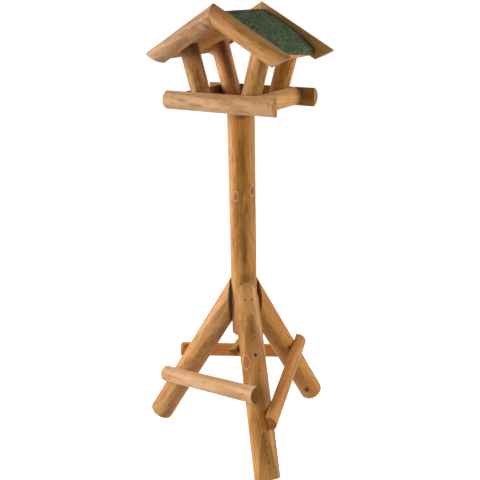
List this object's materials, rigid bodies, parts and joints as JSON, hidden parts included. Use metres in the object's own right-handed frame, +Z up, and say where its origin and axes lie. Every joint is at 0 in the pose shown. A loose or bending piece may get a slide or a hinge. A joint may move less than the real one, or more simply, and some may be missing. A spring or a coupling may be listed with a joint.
{
  "type": "bird table",
  "caption": "Free-standing garden bird table: a round post on three splayed legs carries a railed feeding tray under a felted gable roof.",
  "frame": {"origin": "on the floor, in the middle of the footprint of the three splayed legs, which is about 50 mm off the axis of the post", "axes": "+Z up along the post, -Y out of the front gable, +X to the right as seen from the front"},
  "size_m": [0.5614, 0.5702, 1.3419],
  "materials": {
    "poles": "honey-stained round softwood, satin",
    "halves": "honey-stained halved softwood, satin",
    "boards": "stained sawn softwood, matt",
    "felt": "green mineral-faced roofing felt, matt and gritty",
    "nails": "dull steel"
  },
  "bodies": {
    "root": {"post": "poles", "leg_front": "poles", "leg_left": "poles", "leg_right": "poles", "house_post_front_left": "poles", "house_post_front_right": "poles", "house_post_back_left": "poles", "house_post_back_right": "poles", "base_rail_left": "halves", "base_rail_right": "halves", "base_rail_back": "halves", "post_ledge": "halves", "tray_rail_front": "halves", "tray_rail_back": "halves", "tray_rail_left": "halves", "tray_rail_right": "halves", "barge_board_front_left": "halves", "barge_board_front_right": "halves", "barge_board_back_left": "halves", "barge_board_back_right": "halves", "tray_board_front": "boards", "tray_board_back": "boards", "roof_board_left_upper": "boards", "roof_board_left_lower": "boards", "roof_board_right_upper": "boards", "roof_board_right_lower": "boards", "roof_felt": "felt", "leg_nail_front_1": "nails", "leg_nail_front_2": "nails", "leg_nail_left_1": "nails", "leg_nail_left_2": "nails", "leg_nail_right_1": "nails", "leg_nail_right_2": "nails", "base_rail_nail_left_1": "nails", "base_rail_nail_left_2": "nails", "base_rail_nail_right_1": "nails", "base_rail_nail_right_2": "nails", "base_rail_nail_back_1": "nails", "base_rail_nail_back_2": "nails", "ledge_nail_front": "nails", "ledge_nail_right": "nails", "tray_nail_front_1": "nails", "tray_nail_front_2": "nails", "tray_nail_back_1": "nails", "tray_nail_back_2": "nails", "house_foot_nail_front_left": "nails", "house_foot_nail_front_right": "nails", "house_foot_nail_back_left": "nails", "house_foot_nail_back_right": "nails", "roof_nail_front_left": "nails", "roof_nail_front_right": "nails", "roof_nail_back_left": "nails", "roof_nail_back_right": "nails"}
  },
  "joints": []
}
